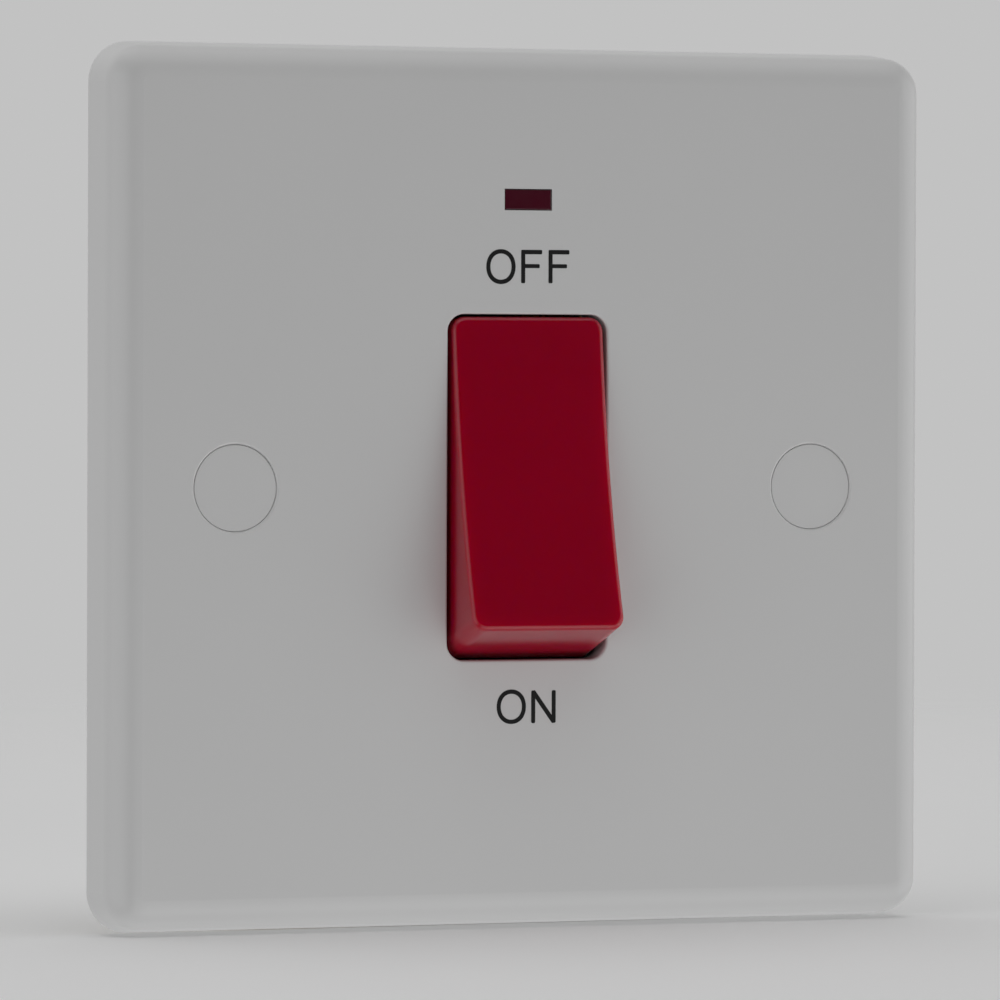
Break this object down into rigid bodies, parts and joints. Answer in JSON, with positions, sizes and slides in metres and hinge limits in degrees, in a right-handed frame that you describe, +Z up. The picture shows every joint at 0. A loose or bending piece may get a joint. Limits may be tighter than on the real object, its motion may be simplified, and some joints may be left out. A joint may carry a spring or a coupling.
{
  "type": "double pole switch",
  "caption": "Square white flush wall plate with a concave red rocker, a small indicator window and screw caps; a double pole isolating switch with rear screw terminals.",
  "frame": {"origin": "centre of the plate's rear plane, which lies on the wall", "axes": "+X to the right seen from the front, +Y into the wall box, +Z up"},
  "size_m": [0.086, 0.0372, 0.086],
  "materials": {
    "white_plastic": "smooth moulded white, semi gloss",
    "red_plastic": "smooth moulded red, semi gloss",
    "red_lens": "dark red translucent lens",
    "housing_plastic": "matt moulded white thermoset",
    "zinc_steel": "zinc plated",
    "nylon": "natural nylon",
    "spring_steel": "drawn spring wire",
    "copper_alloy": "rolled copper alloy",
    "silver": "silver alloy contact",
    "brass": "machined brass",
    "lamp_glass": "clear glass lamp",
    "resistor_body": "tan coated resistor",
    "lead_sleeve": "white sleeved lead"
  },
  "bodies": {
    "switch": {"faceplate": "white_plastic", "indicator_lens": "red_lens", "fixing_screws": "zinc_steel", "switch_housing": "housing_plastic", "housing_screws": "zinc_steel", "fixed_contact_left": "silver", "fixed_contact_right": "silver", "load_strip_left": "brass", "load_strip_right": "brass", "supply_strip_left": "brass", "supply_strip_right": "brass", "terminal_load_left": "brass", "terminal_load_right": "brass", "terminal_supply_left": "brass", "terminal_supply_right": "brass", "neon_lamp": "lamp_glass", "lamp_holder": "housing_plastic", "resistor": "resistor_body", "lamp_lead_left": "lead_sleeve", "lamp_lead_right": "lead_sleeve", "earth_terminal": "brass"},
    "rocker": {"rocker": "red_plastic", "plunger_spring_left": "spring_steel", "plunger_spring_right": "spring_steel"},
    "plunger_left": {"plunger_left": "nylon"},
    "plunger_right": {"plunger_right": "nylon"},
    "contact_arm_left": {"contact_arm_left": "copper_alloy", "moving_contact_left": "silver"},
    "contact_arm_right": {"contact_arm_right": "copper_alloy", "moving_contact_right": "silver"},
    "screw_cap_left": {"screw_cap_left": "white_plastic"},
    "screw_cap_right": {"screw_cap_right": "white_plastic"},
    "earth_screw": {"earth_screw": "zinc_steel"},
    "clamp_screw_load_left_inner": {"clamp_screw_load_left_inner": "zinc_steel"},
    "clamp_screw_load_left_outer": {"clamp_screw_load_left_outer": "zinc_steel"},
    "clamp_screw_load_right_inner": {"clamp_screw_load_right_inner": "zinc_steel"},
    "clamp_screw_load_right_outer": {"clamp_screw_load_right_outer": "zinc_steel"},
    "clamp_screw_supply_left_inner": {"clamp_screw_supply_left_inner": "zinc_steel"},
    "clamp_screw_supply_left_outer": {"clamp_screw_supply_left_outer": "zinc_steel"},
    "clamp_screw_supply_right_inner": {"clamp_screw_supply_right_inner": "zinc_steel"},
    "clamp_screw_supply_right_outer": {"clamp_screw_supply_right_outer": "zinc_steel"}
  },
  "joints": [
    {"name": "rocker_pivot", "type": "hinge", "parent": "switch", "child": "rocker", "pos_m": [0, -0.0024, 0], "axis": [1, 0, 0], "range_deg": [0, 23]},
    {"name": "arm_rock_left", "type": "hinge", "parent": "switch", "child": "contact_arm_left", "pos_m": [-0.0042, 0.011, 0], "axis": [1, 0, 0], "range_deg": [-20, 0]},
    {"name": "arm_rock_right", "type": "hinge", "parent": "switch", "child": "contact_arm_right", "pos_m": [0.0042, 0.011, 0], "axis": [1, 0, 0], "range_deg": [-20, 0]},
    {"name": "plunger_slide_left", "type": "slide", "parent": "rocker", "child": "plunger_left", "axis": [0, -0.9799, 0.1994], "range_m": [0, 0.0012], "stiffness_N_per_m": 1200, "springref_m": -0.002, "deforming": ["plunger_spring_left"]},
    {"name": "plunger_slide_right", "type": "slide", "parent": "rocker", "child": "plunger_right", "axis": [0, -0.9799, 0.1994], "range_m": [0, 0.0012], "stiffness_N_per_m": 1200, "springref_m": -0.002, "deforming": ["plunger_spring_right"]},
    {"name": "cap_pull_left", "type": "slide", "parent": "switch", "child": "screw_cap_left", "axis": [0, -1, 0], "range_m": [0, 0.012]},
    {"name": "cap_pull_right", "type": "slide", "parent": "switch", "child": "screw_cap_right", "axis": [0, -1, 0], "range_m": [0, 0.012]},
    {"name": "clamp_screw_load_left_inner_travel", "type": "slide", "parent": "switch", "child": "clamp_screw_load_left_inner", "axis": [0, -1, 0], "range_m": [0, 0.0054]},
    {"name": "clamp_screw_load_left_outer_travel", "type": "slide", "parent": "switch", "child": "clamp_screw_load_left_outer", "axis": [0, -1, 0], "range_m": [0, 0.0054]},
    {"name": "clamp_screw_load_right_inner_travel", "type": "slide", "parent": "switch", "child": "clamp_screw_load_right_inner", "axis": [0, -1, 0], "range_m": [0, 0.0054]},
    {"name": "clamp_screw_load_right_outer_travel", "type": "slide", "parent": "switch", "child": "clamp_screw_load_right_outer", "axis": [0, -1, 0], "range_m": [0, 0.0054]},
    {"name": "clamp_screw_supply_left_inner_travel", "type": "slide", "parent": "switch", "child": "clamp_screw_supply_left_inner", "axis": [0, -1, 0], "range_m": [0, 0.0054]},
    {"name": "clamp_screw_supply_left_outer_travel", "type": "slide", "parent": "switch", "child": "clamp_screw_supply_left_outer", "axis": [0, -1, 0], "range_m": [0, 0.0054]},
    {"name": "clamp_screw_supply_right_inner_travel", "type": "slide", "parent": "switch", "child": "clamp_screw_supply_right_inner", "axis": [0, -1, 0], "range_m": [0, 0.0054]},
    {"name": "clamp_screw_supply_right_outer_travel", "type": "slide", "parent": "switch", "child": "clamp_screw_supply_right_outer", "axis": [0, -1, 0], "range_m": [0, 0.0054]},
    {"name": "earth_screw_travel", "type": "slide", "parent": "switch", "child": "earth_screw", "axis": [0, -1, 0], "range_m": [0, 0.0029]}
  ],
  "couplings": [
    {"joint": "arm_rock_left", "follows": "rocker_pivot", "ratio": -0.86957},
    {"joint": "arm_rock_right", "follows": "rocker_pivot", "ratio": -0.86957}
  ]
}
